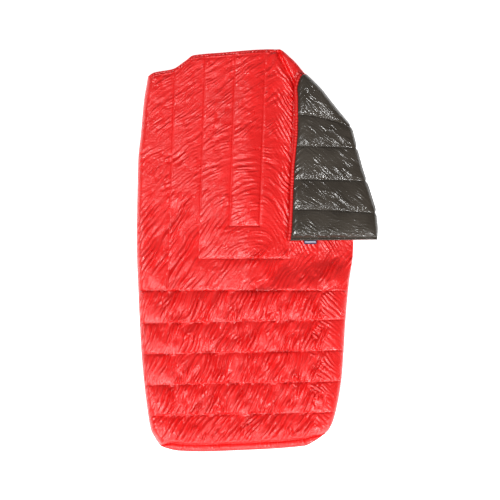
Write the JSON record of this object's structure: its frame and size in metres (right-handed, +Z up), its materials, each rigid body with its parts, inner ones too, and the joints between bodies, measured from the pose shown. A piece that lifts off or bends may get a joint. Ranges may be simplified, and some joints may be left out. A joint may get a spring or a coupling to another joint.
{
  "type": "camp quilt",
  "caption": "Wide baffled camp quilt lying flat, foot closed into a tube, one wing folded under and the other turned up over the front.",
  "frame": {"origin": "middle of the floor under the quilt as it lies", "axes": "+Y towards the head, +X right as seen from above, +Z up out of the front"},
  "size_m": [1.16, 1.93, 0.072],
  "materials": {
    "red_shell": "glossy coated ripstop nylon",
    "charcoal_lining": "soft sheen nylon taffeta",
    "fill": "lofted insulation",
    "baffle_mesh": "fine mesh",
    "elastic": "braided flat elastic",
    "seam_tape": "woven tape",
    "woven_label": "woven label with a blank pale stripe"
  },
  "bodies": {
    "quilt": {"front_shell": "red_shell", "front_lining": "charcoal_lining", "front_centre_fill": "fill", "front_inner_ring_fill": "fill", "front_outer_ring_fill": "fill", "front_left_fill": "fill", "front_right_fill": "fill", "centre_baffle": "baffle_mesh", "inner_ring_baffle": "baffle_mesh", "left_baffle": "baffle_mesh", "right_baffle": "baffle_mesh", "front_cross_baffles": "baffle_mesh", "back_cross_baffles": "baffle_mesh", "back_shell": "red_shell", "back_lining": "charcoal_lining", "left_wing_baffles": "baffle_mesh", "left_side_fold": "red_shell", "right_side_fold": "red_shell", "right_side_edge": "red_shell", "left_wing_hem": "red_shell", "right_wing_hem": "red_shell", "left_wing_neck_hem": "red_shell", "centre_back_seam": "seam_tape", "neck_hem": "red_shell", "neck_elastic": "elastic", "foot_hem": "red_shell", "foot_elastic": "elastic", "fold_shell": "red_shell", "fold_lining": "charcoal_lining", "fold_fills": "fill", "fold_edge": "charcoal_lining", "front_foot_fill_1": "fill", "front_foot_fill_2": "fill", "front_foot_fill_3": "fill", "front_foot_fill_4": "fill", "front_foot_fill_5": "fill", "back_foot_fill_1": "fill", "back_foot_fill_2": "fill", "back_foot_fill_3": "fill", "back_foot_fill_4": "fill", "back_foot_fill_5": "fill", "left_wing_fill_1": "fill", "left_wing_fill_2": "fill", "left_wing_fill_3": "fill", "left_wing_fill_4": "fill", "left_wing_fill_5": "fill", "left_wing_fill_6": "fill", "left_wing_fill_7": "fill"},
    "flap": {"flap_shell": "red_shell", "flap_lining": "charcoal_lining", "flap_baffles": "baffle_mesh", "flap_neck_hem": "red_shell", "flap_neck_elastic": "elastic", "flap_side_hem": "charcoal_lining", "flap_label": "woven_label", "flap_fill_1": "fill", "flap_fill_2": "fill", "flap_fill_3": "fill", "flap_fill_4": "fill", "flap_fill_5": "fill"}
  },
  "joints": [
    {"name": "flap_fold", "type": "hinge", "parent": "quilt", "child": "flap", "pos_m": [0.3995, 0.4485, 0.0665], "axis": [-0.3963, 0.9181, 0], "range_deg": [0, 120]}
  ]
}
